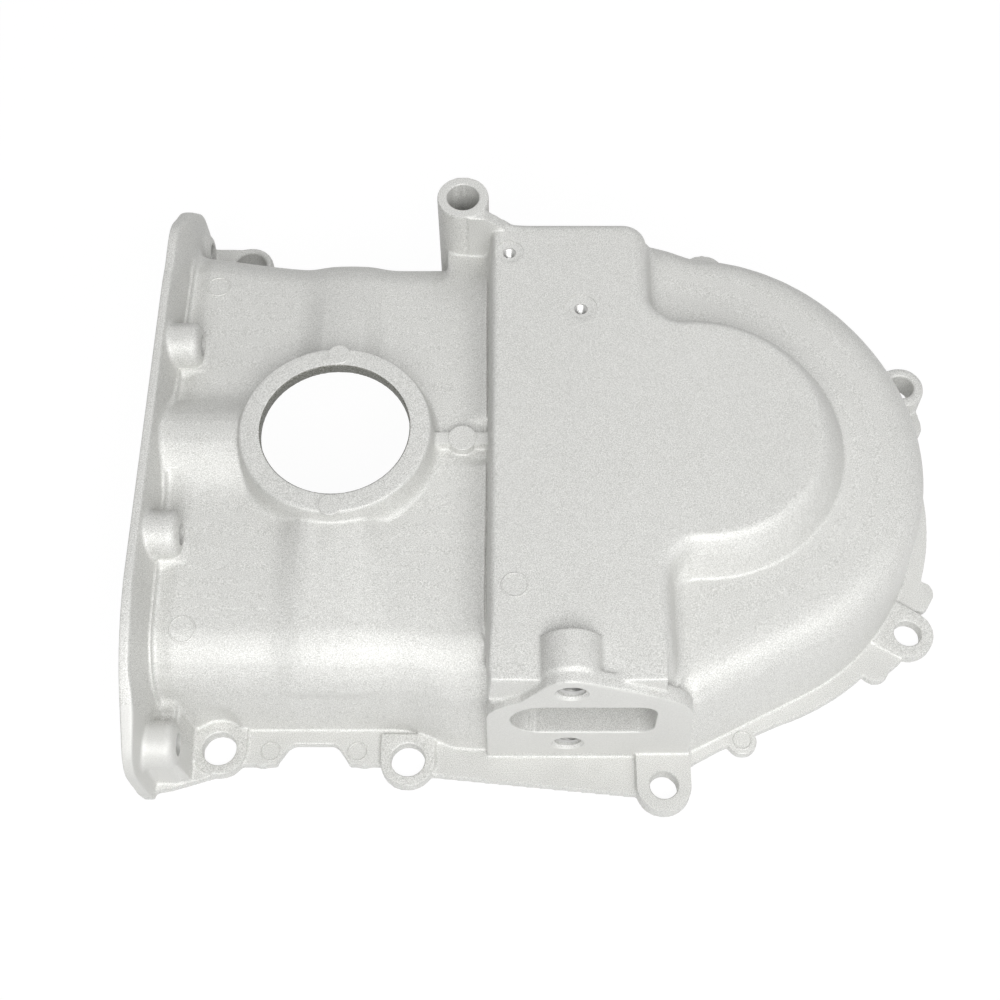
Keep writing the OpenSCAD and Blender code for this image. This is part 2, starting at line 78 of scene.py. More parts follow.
# %% Shader sums
class Knot:
    def __init__(self, tree, socket):
        self.tree, self.socket = tree, socket

    def math(self, operation, *others, clamp=False):
        made = self.tree.node("ShaderNodeMath", {"operation": operation, "use_clamp": clamp})
        for slot, value in zip(made.inputs, (self, *others)):
            self.tree.feed(slot, value)
        return Knot(self.tree, made.outputs[0])

    def __add__(self, other):
        return self.math("ADD", other)

    def __sub__(self, other):
        return self.math("SUBTRACT", other)

    def __rsub__(self, other):
        return self.math("MULTIPLY_ADD", -1.0, other)

    def __mul__(self, other):
        return self.math("MULTIPLY", other)

    __radd__, __rmul__ = __add__, __mul__


class Finish:
    def __init__(self, owner):
        owner.use_nodes = True
        self.nodes, self.links = owner.node_tree.nodes, owner.node_tree.links
        self.nodes.clear()

    def feed(self, slot, value):
        if isinstance(value, Knot):
            self.links.new(value.socket, slot)
        else:
            slot.default_value = value

    def node(self, kind, settings=None, sockets=None):
        made = self.nodes.new(kind)
        for name, value in (settings or {}).items():
            setattr(made, name, value)
        for name, value in (sockets or {}).items():
            self.feed(made.inputs[name], value)
        return made

    def get(self, kind, settings=None, sockets=None, out=0):
        return Knot(self, self.node(kind, settings, sockets).outputs[out])


# %% [markdown]
# ## Studio
# The cover lies on its gasket face on a white sheet. The world looks white to the camera and in reflections,
# while the light that it gives stays at a plain level. The Light Path node tells the two kinds of ray apart.

# %% Sky
WHITE = (1.0, 1.0, 1.0, 1.0)


def seen_directly(tree):
    path = tree.node("ShaderNodeLightPath")
    rays = [Knot(tree, path.outputs[n]) for n in ("Is Camera Ray", "Is Glossy Ray", "Is Transmission Ray")]
    return (rays[0] + rays[1]).math("ADD", rays[2], clamp=True)


sky = bpy.data.worlds.new("studio_sky")
scene.world = sky
tree = Finish(sky)
SKY_LIGHT = 0.212
glow = tree.get("ShaderNodeMix", {"data_type": "FLOAT"}, {0: seen_directly(tree), 2: SKY_LIGHT, 3: 1.0})
light = tree.get("ShaderNodeBackground", {}, {"Color": WHITE, "Strength": glow})
tree.node("ShaderNodeOutputWorld", {}, {"Surface": light})
print("sky gives", SKY_LIGHT)

# %% [markdown]
# ## White sheet
# The sheet under the cover works like the sky. It looks white and still shows a faint shadow, because a little
# diffuse shader is added to its glow. It lies a hair under the gasket face, so that no two faces share one place.

# %% White sheet
SHEET_SIZE, SHEET_Z = 3.0, -0.2
SHEET_GREY, SHADOW_GREY, SHEET_GLOW = (0.8, 0.8, 0.8, 1), (0.06, 0.06, 0.06, 1), 0.96
sheet = bmesh.new()
bmesh.ops.create_grid(sheet, x_segments=1, y_segments=1, size=SHEET_SIZE)
bmesh.ops.translate(sheet, verts=sheet.verts, vec=(0, 0, SHEET_Z * MM))
floor_mesh = bpy.data.meshes.new("white_floor")
sheet.to_mesh(floor_mesh)
sheet.free()
floor = bpy.data.objects.new("white_floor", floor_mesh)
scene.collection.objects.link(floor)
paper = bpy.data.materials.new("white_paper")
tree = Finish(paper)
matt = tree.get("ShaderNodeBsdfDiffuse", {}, {"Color": SHEET_GREY})
shade = tree.get("ShaderNodeBsdfDiffuse", {}, {"Color": SHADOW_GREY})
white = tree.get("ShaderNodeEmission", {}, {"Color": WHITE, "Strength": SHEET_GLOW})
lit = tree.get("ShaderNodeAddShader", {}, {0: shade, 1: white})
both = tree.get("ShaderNodeMixShader", {}, {0: seen_directly(tree), 1: matt, 2: lit})
tree.node("ShaderNodeOutputMaterial", {}, {"Surface": both})
floor_mesh.materials.append(paper)
print("white sheet at", SHEET_Z, "mm")

# %% [markdown]
# ## Lamps
# A large lamp stands over the camera, so edges that turn to the viewer are bright. A weaker one opens the right
# side and a weak one the far side. All of them look at the middle of the cover.

# %% Lamps
AIM = Vector((82, 0, 30)) * MM


def lamp(name, place_mm, size, watts):
    data = bpy.data.lights.new(name, "AREA")
    data.size, data.energy = size, watts
    made = bpy.data.objects.new(name, data)
    made.location = Vector(place_mm) * MM
    made.rotation_euler = (AIM - made.location).to_track_quat("-Z", "Y").to_euler()
    scene.collection.objects.link(made)


lamp("near_lamp", (82, -1060, 1090), 0.9, 15.2)
lamp("right_lamp", (547, -465, 687), 0.56, 2.6)
lamp("far_lamp", (82, 1060, 1090), 0.9, 3.0)
print("studio has", len(bpy.data.lights), "lamps")

# %% [markdown]
# ## Lathe, box and web
# Most forms on this cover are round about an axis, so one helper spins a profile, as a lathe would. A second
# makes a box between two corners, and a third a flat web from a row of discs. The last one puts what a piece's
# modifiers give into its mesh, so that the next step can work on real points.

# %% Lathe, box and web
UP, IN_FROM_PUMP, IN_FROM_PAN = Vector((0, 0, 1)), Vector((0, 1, 0)), Vector((1, 0, 0))
FINE_STEPS, ROUND_STEPS = 72, 48


def lay(place, axis):
    return Matrix.Translation(Vector(place) * MM) @ axis.to_track_quat("Z", "Y").to_matrix().to_4x4()


def turn(mesh, place, axis, profile, steps=FINE_STEPS):
    """Spins a profile of radius and height in mm round an axis."""
    at = lay(place, axis)
    points = [mesh.verts.new(at @ Vector((r * MM, 0, h * MM))) for r, h in profile]
    edges = [mesh.edges.new(pair) for pair in zip(points, points[1:])]
    bmesh.ops.spin(mesh, geom=points + edges, cent=at.translation, axis=axis, angle=math.tau, steps=steps,
                   use_merge=True)


def block(mesh, low, high, lean=0):
    """A box between two corners in mm. Its right face may lean in towards the top."""
    low, high = Vector(low) * MM, Vector(high) * MM
    middle = (low + high) / 2
    placed = Matrix.Translation(middle) @ Matrix.Diagonal((*(high - low), 1))
    for corner in bmesh.ops.create_cube(mesh, size=1, matrix=placed)["verts"]:
        if corner.co.x > middle.x and corner.co.z > middle.z:
            corner.co.x -= lean * MM


def web(mesh, first, last, top, discs=7):
    """A flat web from one disc to another, each of place and radius in mm, as a row of turned discs."""
    for share in range(discs):
        disc = Vector(first).lerp(Vector(last), share / (discs - 1))
        turn(mesh, (*disc.xy, 0), UP, [(0, 0), (disc.z, 0), (disc.z, top), (0, top)], ROUND_STEPS)


def settle(piece):
    """Puts the result of a piece's modifiers into its mesh."""
    graph = bpy.context.evaluated_depsgraph_get()
    mesh = bpy.data.meshes.new_from_object(piece.evaluated_get(graph), preserve_all_data_layers=True,
                                           depsgraph=graph)
    piece.modifiers.clear()
    piece.data = mesh


print("rounds have", FINE_STEPS, "or", ROUND_STEPS, "steps")

# %% [markdown]
# ## Casting
# A casting has no sharp edge: corners are round and walls meet in fillets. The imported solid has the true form
# with sharp edges, so a copy of it is made soft in the next steps. Some forms are first laid over the copy:
# longer bosses with rounder ends on the pan flange, a wider block at the near low boss, a square near edge on the
# high flat, a thicker wall beside the bolt tube, a higher ear, and webs that fill the outline beside two lugs.

# %% Forms laid over the solid
PAN_X = -68.3
PAN_BOSSES = ((40.2, 58), (-40.2, 58), (-107, 27), (107, 27))
FAR_LOW_BOSS = PAN_BOSSES[3]
BOSS_PROFILE = ((0, 4), (8.4, 4), (8.4, 12.6), (8.1, 13.9), (7.3, 14.9), (6.1, 15.5), (4.6, 15.8), (0, 15.8))
NEAR_LOW_BLOCK, NEAR_LOW_LEAN = ((-67, -112.4, 0.2), (-50.8, -91, 22)), 3.6
FLAT_FRONT = ((56.6, -99.3, 52), (116, -93, 66.5))
FLAT_TOP = ((56.6, -95, 61.8), (116, -84, 66.5))
FLAT_CORNER = ((56.6, -99.3, 22), (61, -86, 66.5))
TUBE_WALL = ((56.8, 89, 0.4), (60.5, 100.6, 46))
TUBE_WALL_FOOT = ((58, 96.6, 0.4), (72, 100.4, 36))
HIGH_EAR, HIGH_EAR_R, HIGH_EAR_Z, RIM_Z = (145.5, 111.5), 9.55, 8, 4
LUG_WEBS = (((199.4, -68, 5), (206.4, -62.6, 4.6)), ((220.6, -37.6, 4.8), (219.4, -41, 4.2)))
SEAM = 0.001
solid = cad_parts["timing_cover"]
cover = bpy.data.objects.new("cast_cover", solid.data.copy())
scene.collection.objects.link(cover)
shell = bmesh.new()
shell.from_mesh(cover.data)
bmesh.ops.remove_doubles(shell, verts=shell.verts, dist=SEAM * MM)
for across, height in PAN_BOSSES[:3]:
    turn(shell, (PAN_X, across, height), IN_FROM_PAN, BOSS_PROFILE, ROUND_STEPS)
block(shell, *NEAR_LOW_BLOCK, NEAR_LOW_LEAN)
for corners in (FLAT_FRONT, FLAT_TOP, FLAT_CORNER, TUBE_WALL, TUBE_WALL_FOOT):
    block(shell, *corners)
turn(shell, (*HIGH_EAR, 0), UP, [(0, 0), (HIGH_EAR_R, 0), (HIGH_EAR_R, HIGH_EAR_Z), (0, HIGH_EAR_Z)], ROUND_STEPS)
for first, last in LUG_WEBS:
    web(shell, first, last, RIM_Z)
print("solid and the forms over it:", len(shell.faces), "faces")
shell.to_mesh(cover.data)
shell.free()

# %% [markdown]
# ## Even mesh
# A voxel remesh turns whatever overlaps into one closed skin of small even squares. Smoothing works best on such
# a mesh, and the forms need no clean joints between them. Squares of half a millimetre are fine enough for the
# walls.

# %% Even mesh
VOXEL = 0.5 * MM
even = cover.modifiers.new("even", "REMESH")
even.mode, even.voxel_size = "VOXEL", VOXEL
settle(cover)
print("even mesh:", len(cover.data.vertices), "vertices")


# %% [markdown]
# ## Points by formula
# The walls of a mould lean and swell. Formulas on the points of the even mesh can give that: the points are read
# as three rows of numbers, changed in millimetres and written back. A ramp is a soft step between two values.


# %% Points by formula
def ramp(value, low, high):
    t = np.clip((value - low) / (high - low), 0, 1)
    return t * t * (3 - 2 * t)


def between(value, low, high, fade):
    return ramp(value, low - fade, low) * (1 - ramp(value, high, high + fade))


def read(piece, what):
    flat = np.empty(len(piece.data.vertices) * 3, np.float32)
    piece.data.vertices.foreach_get(what, flat)
    return flat.reshape(-1, 3).T.astype(np.float64)


def write(piece, xyz_mm):
    piece.data.vertices.foreach_set("co", (np.stack(xyz_mm, 1) * MM).astype(np.float32).ravel())
    piece.data.update()


print("points to move:", len(cover.data.vertices))

# %% [markdown]
# ## Slope from the high flat
# The high flat falls to the terrace on a long rounded slope, steepest at its foot. The solid has a quarter round,
# a short wall and another quarter round there. So the height of a point tells how far out it lies, and that gives
# it a new height.

# %% Slope from the high flat
FLAT_Z, TERRACE_Z, EDGE_R, WALL_OUT, SLOPE_RUN, SLOPE_POWER = 66.6, 51, 5, 1.4, 9.6, 1.5
SLOPE_X, SLOPE_NEAR_Y, SLOPE_FAR_Y = (120, 129), (-84, -76), (78, 84)
x, y, z = read(cover, "co") / MM
up = read(cover, "normal")[2]
upper = np.arccos(np.clip(1 - (FLAT_Z - z) / EDGE_R, -1, 1))
lower = np.arcsin(np.clip(1 - (z - TERRACE_Z) / EDGE_R, -1, 1))
wall_run = WALL_OUT * (FLAT_Z - EDGE_R - z) / (FLAT_Z - TERRACE_Z - 2 * EDGE_R)
out = np.where(z > FLAT_Z - EDGE_R, EDGE_R * (np.sin(upper) - 1),
               np.where(z > TERRACE_Z + EDGE_R, wall_run, WALL_OUT + EDGE_R * (1 - np.cos(lower))))
share = np.clip((out + EDGE_R) / SLOPE_RUN, 0, 1)
slope_z = FLAT_Z - (FLAT_Z - TERRACE_Z) * share ** SLOPE_POWER
on_slope = ramp(x, *SLOPE_X) * ramp(y, *SLOPE_NEAR_Y) * (1 - ramp(y, *SLOPE_FAR_Y)) * (z > TERRACE_Z) * (z < FLAT_Z)
z = z + (slope_z - z) * on_slope
print("slope moved", int((on_slope > 0.5).sum()), "points")

# %% [markdown]
# ## Pan flange
# The flange gets thinner towards its edge, so that it comes out of the mould: its points move along X, more the
# further they are from the vault. Its far end is fuller, so the edge moves up and out there.

# %% Pan flange
VAULT_Z, SHOULDER_R, SHOULDER_Y = 51, 22, 68.4
PAN_T, PAN_THINNER, PAN_REACH, PAN_END_REACH, PAN_FULLER = 6.4, 3.2, 17, 15, 5
PAN_ENDS_Y, FAR_END_Y, THINNER_POWER, FAR_END_LESS, BEHIND = (90, 106), (84, 96), 1.3, 0.8, 4
FULLER_Y, FULLER_BEYOND, FULLER_Z, FULLER_X = (88, 100, 20), (3, 13), (26, 44), (-61.5, -58)
FULLER_OUT, FULLER_UP = 0.5, 0.85


def over_vault(y, z):
    """Distance out from the vault's skin in mm."""
    side = np.abs(y) - SHOULDER_Y
    round_part = np.where(z > VAULT_Z - SHOULDER_R, np.hypot(side, z - VAULT_Z + SHOULDER_R), side) - SHOULDER_R
    return np.where(side < 0, z - VAULT_Z, round_part)


beyond = over_vault(y, z)
reach = PAN_REACH + PAN_END_REACH * ramp(np.abs(y), *PAN_ENDS_Y)
thinner = PAN_THINNER * np.clip((beyond - 1) / (reach - 1), 0, 1) ** THINNER_POWER
thinner = thinner * (1 - FAR_END_LESS * ramp(y, *FAR_END_Y))
fuller = PAN_FULLER * between(y, *FULLER_Y) * ramp(beyond, *FULLER_BEYOND) * ramp(z, *FULLER_Z)
fuller = fuller * (1 - ramp(x, *FULLER_X))
y, z = y + FULLER_OUT * fuller, z + FULLER_UP * fuller
inner_x = PAN_X + PAN_T
in_plate = PAN_X + (x - PAN_X) * (PAN_T - thinner) / PAN_T
behind_plate = x - thinner * (1 - ramp(x, inner_x, inner_x + BEHIND))
x = np.where(x < inner_x, in_plate, behind_plate)
print("pan flange is up to", round(float(thinner.max()), 2), "mm thinner")

# %% [markdown]
# ## Rise before the step
# The vault swells a little before it meets the step to the high flat, and the pad at the near low boss drops
# towards its edge. Both are small moves in height inside a region with soft borders.

# %% Rise before the step
STEP_RISE, RISE_FROM_X, RISE_RUN = 5, 43, 13
PAD_DROP, PAD_TOP_Z, PAD_FALL_Z = 4.5, 30, (18, 27)
near_step = (1 - ramp(x, 55.5, 58)) * ramp(up, 0.2, 0.6) * ramp(z, 38, 42) * (1 - ramp(z, 52, 58))
near_step *= ramp(np.abs(y), 7, 11) * (1 - ramp(np.abs(y), 70, 84))
z = z + STEP_RISE * np.clip((x - RISE_FROM_X) / RISE_RUN, 0, 1) ** 2 * near_step
low_pad = between(x, -61, -50, 1) * ramp(y, -99.5, -97.5) * (1 - ramp(y, -92.6, -92.2)) * (z < PAD_TOP_Z)
z = z - PAD_DROP * ramp(z, *PAD_FALL_Z) * low_pad
write(cover, (x, y, z))
print("rise moved", int((near_step > 0.5).sum()), "points")

# %% [markdown]
# ## Where the casting stays crisp
# A Smooth modifier will round the blends, but not near a machined or small feature. Each such place has a mask of
# its own, a product of ramps in millimetres, and the weight of the smoothing falls to nothing where a mask is
# full.

# %% Crisp places
CAM, FLAT_R = (132, 0), 49.5
TUBE = (45.2, 98.4)
POINTERS = ((63.1, 77.6), (90, 51.3))
from_crank = np.hypot(x, y)
from_tube = np.hypot(x - TUBE[0], y - TUBE[1])
crank_ring = ramp(z, 46, 50) * (1 - ramp(from_crank, 40, 46))
pump_flange = between(x, 54, 129, 4) * (1 - ramp(y, -96, -90)) * (1 - 0.8 * ramp(z, 60, 64))
pump_boss = 0.6 * between(x, 70, 98, 3) * ramp(z, 48, 54) * (1 - ramp(y, -84, -78))
tube_web = between(x, 34, 68, 4) * ramp(y, 82, 88)
rib = between(x, 30, 60, 2) * (1 - ramp(np.abs(y), 6, 9)) * ramp(z, 48, 52)
blend = ramp(z, 9, 14)
for crisp in (crank_ring, pump_flange, pump_boss, tube_web, rib):
    blend *= 1 - crisp
blend *= ramp(from_tube, 13, 17) * ramp(x, -67.5, -66)
blend *= 1 - on_slope * (0.6 - 0.4 * ramp(y, -10, 20))
for across, height in PAN_BOSSES:
    near = 1 - ramp(np.hypot(y - across, z - height), 9, 12)
    blend *= 1 - 0.85 * near * (1 - ramp(x, -50, -46))
for place in POINTERS:
    blend *= 1 - ramp(z, 54, 58) * (1 - ramp(np.hypot(x - place[0], y - place[1]), 6, 9))
print("crisp points:", int((blend < 0.5).sum()))

# %% [markdown]
# ## Soft edges
# The vault's shoulders and the foot of the terrace are rounder than the other blends, so they get a wider
# smoothing first. Both smoothings are modifiers on a vertex group, with the weights in ten levels.

# %% Soft edges
WIDE_TURNS, BLEND_TURNS, FINE_TURNS = 80, 24, 5


def weights(piece, name, values):
    group = piece.vertex_groups.new(name=name)
    levels = np.round(np.clip(values, 0, 1) * 10).astype(int)
    for level in range(1, 11):
        group.add(np.flatnonzero(levels == level).tolist(), level / 10, "REPLACE")


def smooth(piece, name, values, turns):
    weights(piece, name, values)
    ease = piece.modifiers.new(name, "SMOOTH")
    ease.factor, ease.iterations, ease.vertex_group = 0.5, turns, name


wide = blend * (1 - 0.2 * between(x, 48, 62, 5)) * ramp(x, -54, -47)
wide *= 1 - ramp(z, 51, 55)
from_flat = np.hypot(x - CAM[0], y - CAM[1]) - FLAT_R
wide *= 1 - ramp(x, 112, 120) * (1 - ramp(from_flat, 8, 14))
far_pan_edge = (1 - ramp(x, -60, -56)) * ramp(y, 92, 100) * ramp(z, 24, 32)
wide = np.maximum(wide, far_pan_edge)
smooth(cover, "wide", wide, WIDE_TURNS)
smooth(cover, "blend", blend, BLEND_TURNS)
settle(cover)
cover.vertex_groups.clear()
print("smoothed in", WIDE_TURNS, "and", BLEND_TURNS, "turns")

# %% [markdown]
# ## Ledge along the pan flange
# A low ledge runs along the foot of the pan flange and round its bosses, with a shallow valley beside it. Points
# of the vault's skin are pushed out or in along their normals. A last light smoothing takes the voxel steps off
# every edge.

# %% Ledge
LEDGE, VALLEY = 0.95, 1.0
x, y, z = read(cover, "co") / MM
nx, ny, nz = read(cover, "normal")
outside = (ny * y + nz * np.maximum(z - 20, 5) > 0) & (nx < 0.8) & (z > 9)
skin_only = 1 - ramp(over_vault(y, z), 4, 7)
ledge = 1 - ramp(x, -61.6, -60.4)
valley = ramp(x, -61.2, -60) * (1 - ramp(x, -60, -53.5))
for across, height in PAN_BOSSES[:2]:
    beside = 0.7 - 0.7 * ramp(np.abs(y - across), 7.4, 9)
    in_boss = 1 - ramp(np.hypot(y - across, z - height), 8.8, 9.4)
    valley = valley * ramp(np.abs(y - across), 8.5, 11)
    ledge = np.maximum(ledge, beside * (1 - ramp(x, -52.2, -51.2)) * (1 - in_boss * ramp(z, 52.5, 53.5)))
ledge = (ledge * LEDGE - valley * VALLEY) * outside * skin_only * ramp(x, -63, -62) * (np.abs(y) < 92)
write(cover, (x + nx * ledge, y + ny * ledge, z + nz * ledge))
fine = np.ones_like(x) - 0.8 * between(x, 52, 131, 1) * (1 - ramp(y, -101.5, -100))
smooth(cover, "fine", fine, FINE_TURNS)
settle(cover)
cover.vertex_groups.clear()
print("ledge raised", int((ledge > LEDGE / 2).sum()), "points")

# %% [markdown]
# ## Fewer faces
# The even mesh has more faces than its flat places need. A Decimate modifier keeps most of them where the skin
# bends.

# %% Fewer faces
TRIANGLES = 180000
thin = cover.modifiers.new("thin", "DECIMATE")
thin.ratio = TRIANGLES / (2 * len(cover.data.polygons))
settle(cover)
print("casting:", len(cover.data.polygons), "faces")

# %% [markdown]
# ## Drilled and machined places
# After casting, the holes are drilled and the arm slot is milled, which leaves crisp edges in the soft skin. One
# cutter mesh holds all these tools, each spun from a profile, and a Boolean takes it out of the casting. Tapped holes
# are cut at the thread's outer radius, because the thread itself is added as its own piece. The faces that a drill or
# a tap leaves take the second material from the cutter: a drilled hole is shinier than the cast skin, and its colour
# is painted darker as the shade inside the hole.


# %% Drills and taps
def close(mesh, name):
    """Merges a bmesh's seams, turns its faces outwards and makes an object of it."""
    bmesh.ops.remove_doubles(mesh, verts=mesh.verts, dist=0.0005 * MM)
    bmesh.ops.recalc_face_normals(mesh, faces=mesh.faces)
    data = bpy.data.meshes.new(name)
    mesh.to_mesh(data)
    mesh.free()
    made = bpy.data.objects.new(name, data)
    scene.collection.objects.link(made)
    return made


def drill(mesh, place, axis, radius, low, high, flare=0.4):
    turn(mesh, place, axis, [(0, low), (radius, low), (radius, high - flare), (radius + flare, high),
                             (radius + flare, high + 2), (0, high + 2)])


LARGE, SMALL, BELOW_RIM = 6.2, 5.1, -1
EARS = ((-42.2, -100.6, LARGE, 5.5), (26.4, -104.8, LARGE, 5.5), (-46.3, 111.8, LARGE, 14),
        (118.6, -114.8, SMALL, 7), (213.4, -54.8, SMALL, 5.5), (222, 51.7, SMALL, 12), (*HIGH_EAR, SMALL, HIGH_EAR_Z))
THROAT_R, THROAT_LOW, RING_Z, TUBE_Z = 27.05, 58, 64.2, 74
PUMP_X, PUMP_Y, PUMP_BOLTS = 84, -102.8, (16.7, 63.1)
PUMP_TAP = ((0, -2), (5.9, -2), (5.9, 0), (4.75, 1.1), (4.75, 17), (4, 18), (0, 19))
PAN_TAP = ((0, -2), (4.3, -2), (4.3, 0), (3.95, 0.4), (3.95, 19), (0, 19))
POINTER_LOW, SPOT_RADII, SPOT_FACE_Z = 55.6, (5.5, 6.2), 66.1
POINTER_TAP = ((0, 0), (2.1, 1), (2.48, 1.4), (2.48, 10.3), (2.75, 10.65))
tools = bmesh.new()
for ear_x, ear_y, radius, top in EARS:
    drill(tools, (ear_x, ear_y, 0), UP, radius, BELOW_RIM, top)
drill(tools, (0, 0, 0), UP, THROAT_R, THROAT_LOW, RING_Z)
tools.faces.ensure_lookup_table()
cast_faces = len(tools.faces)
drill(tools, (*TUBE, 0), UP, LARGE, BELOW_RIM, TUBE_Z)
for height in PUMP_BOLTS:
    turn(tools, (PUMP_X, PUMP_Y, height), IN_FROM_PUMP, PUMP_TAP)
for across, height in PAN_BOSSES:
    turn(tools, (PAN_X, across, height), IN_FROM_PAN, PAN_TAP)
for place, radius in zip(POINTERS, SPOT_RADII):
    turn(tools, (*place, POINTER_LOW), UP, [*POINTER_TAP, (radius, 10.65), (radius + 0.2, 13), (0, 13)])
tools.faces.ensure_lookup_table()
# These faces take the drilled material, whose dark colour is painted shade inside the holes.
for face in tools.faces[cast_faces:]:
    middle = face.calc_center_median() / MM
    on_spot_face = middle.z > SPOT_FACE_Z and middle.x > 60 and middle.y > 0
    face.material_index = 0 if on_spot_face else 1
print("drills and taps:", len(tools.faces), "faces")

# %% [markdown]
# ## Arm slot and the cut
# The slot for the pump's arm is wide and round at one end and narrow at the other, so it is the hull of three
# round bars. The Manifold solver is quick and exact on closed meshes, and it carries the cutter's materials over.

# %% Arm slot and the cut
SLOT_ENDS, SLOT_DEPTH, SLOT_IN = ((75, 39, 11.6), (107.8, 33.4, 6), (107.8, 44.6, 6)), 18, 7
for end_x, end_z, radius in SLOT_ENDS:
    bmesh.ops.create_cone(tools, cap_ends=True, segments=ROUND_STEPS, radius1=radius * MM, radius2=radius * MM,
                          depth=SLOT_DEPTH * MM, matrix=lay((end_x, PUMP_Y + SLOT_IN, end_z), IN_FROM_PUMP))
slot = [v for v in tools.verts if 60 * MM < v.co.x < 115 * MM and v.co.y < -80 * MM and 26 * MM < v.co.z < 52 * MM]
bmesh.ops.delete(tools, geom=list({f for v in slot for f in v.link_faces}), context="FACES_ONLY")
bmesh.ops.convex_hull(tools, input=slot)
cutter = close(tools, "cutter")
aluminium, drilled_with_painted_shade = (bpy.data.materials.new(name) for name in ("cast_aluminium", "drilled_painted_shade_aluminium"))
for piece in (cover, cutter):
    piece.data.materials.clear()
    for finish in (aluminium, drilled_with_painted_shade):
        piece.data.materials.append(finish)
cut = cover.modifiers.new("cut", "BOOLEAN")
cut.operation, cut.solver, cut.object, cut.material_mode = "DIFFERENCE", "MANIFOLD", cutter, "INDEX"
settle(cover)
bpy.data.objects.remove(cutter)
cover.data.shade_smooth()
cover.data.set_sharp_from_angle(angle=math.radians(38))
print("machined casting:", sum(len(face.vertices) - 2 for face in cover.data.polygons), "triangles,",
      sum(face.material_index for face in cover.data.polygons), "drilled faces")

# %% [markdown]
# ## Threads
# The pump, pan and pointer holes are tapped. A thread is a ridge with a narrow flat crest that climbs one pitch
# in each turn, so its section is spun round the hole with a step along the axis.

# %% Threads
TURN_STEPS = 24
PUMP_THREAD = (4.82, 4.02, 1.59, 0.9, 13)
PAN_THREAD, PAN_LENGTH, SHORT_LENGTH = (4.02, 3.36, 1.41, 0.8), 13.4, 6.6
POINTER_THREAD = (2.55, 2.12, 0.8, 1.6, 7.4)
THREAD_ANGLE = math.radians(40)


def thread(mesh, place, axis, root, crest, pitch, start, length):
    """Spins a ridge between a root and a crest radius, all in mm, up a hole."""
    at = lay(place, axis)
    section = ((root, 0), (crest, 0.42), (crest, 0.56), (root, 0.98))
    points = [mesh.verts.new(at @ Vector((r * MM, 0, (start + share * pitch) * MM))) for r, share in section]
    face = mesh.faces.new(points)
    steps = int(length / pitch * TURN_STEPS)
    bmesh.ops.spin(mesh, geom=[face, *face.edges, *points], cent=at.translation, axis=axis,
                   dvec=axis * (pitch * MM / TURN_STEPS), angle=math.tau * steps / TURN_STEPS, steps=steps)


ridges = bmesh.new()
for height in PUMP_BOLTS:
    thread(ridges, (PUMP_X, PUMP_Y, height), IN_FROM_PUMP, *PUMP_THREAD)
for across, height in PAN_BOSSES:
    length = SHORT_LENGTH if (across, height) == FAR_LOW_BOSS else PAN_LENGTH
    thread(ridges, (PAN_X, across, height), IN_FROM_PAN, *PAN_THREAD, length)
for place in POINTERS:
    thread(ridges, (*place, POINTER_LOW), UP, *POINTER_THREAD)
threads = close(ridges, "tapped_threads")
threads.data.shade_smooth()
threads.data.set_sharp_from_angle(angle=THREAD_ANGLE)
print("threads:", len(threads.data.polygons), "faces")

# %% [markdown]
# ## Marks of the ejector pins
# Pins push the casting out of its mould and leave flat rounds on the ring and the rib, and faint circles
# elsewhere. The rounds are spun discs with a small chamfer. A circle is a thin spun ring, and each of its points
# drops on the skin by a ray shot down on the casting.

# %% Pin marks
PIN_ROUNDS = (((0, 31.8, RING_Z), 4.1, 0.7), ((0, -31.8, RING_Z), 4.1, 0.7), ((46, 0, 57), 5.15, 5))
CIRCLES = ((-50.4, -73.3, 4.5), (-50.4, 72.6, 4.5), (65.1, -64.2, 4.5), (-23.6, -101.2, 3.4), (8, -101.2, 3.4),
           (148.3, -96.9, 3.3))
CIRCLE_RING = ((-0.4, -0.3), (-0.35, 0.1), (-0.15, 0.3), (0.15, 0.3), (0.35, 0.1), (0.4, -0.3), (-0.4, -0.3))
RAY_FROM = 0.1
MARK_ANGLE = math.radians(40)
marks = bmesh.new()
for place, radius, thick in PIN_ROUNDS:
    turn(marks, place, UP, [(0, -thick), (radius, -thick), (radius, 0.22), (radius - 0.2, 0.4), (0, 0.4)], ROUND_STEPS)
skin = BVHTree.FromPolygons([v.co for v in cover.data.vertices], [f.vertices for f in cover.data.polygons])
for mark_x, mark_y, radius in CIRCLES:
    rings = bmesh.new()
    turn(rings, (mark_x, mark_y, 0), UP, [(radius + r, h) for r, h in CIRCLE_RING], ROUND_STEPS)
    for point in rings.verts:
        below = skin.ray_cast(Vector((point.co.x, point.co.y, RAY_FROM)), -UP)[0] or skin.find_nearest(point.co)[0]
        point.co.z += below.z
    loose = bpy.data.meshes.new("circle")
    rings.to_mesh(loose)
    rings.free()
    marks.from_mesh(loose)
    bpy.data.meshes.remove(loose)
pins = close(marks, "pin_marks")
pins.data.shade_smooth()
pins.data.set_sharp_from_angle(angle=MARK_ANGLE)
print("pin marks:", len(pins.data.polygons), "faces")

# %% [markdown]
# ## Cast aluminium
# Shot-blasted aluminium is a pale, faintly warm grey. It is dull like a stone but still a metal, with a fine grain
# that catches light and a slow drift of tone over the surface. The machined pump face has less grain. The crank's
# throat is turned, and its colour is painted darker as the shade inside it.


# %% Cast aluminium
def noise(tree, here, scale, detail):
    return tree.get("ShaderNodeTexNoise", {}, {"Vector": here, "Scale": scale, "Detail": detail})


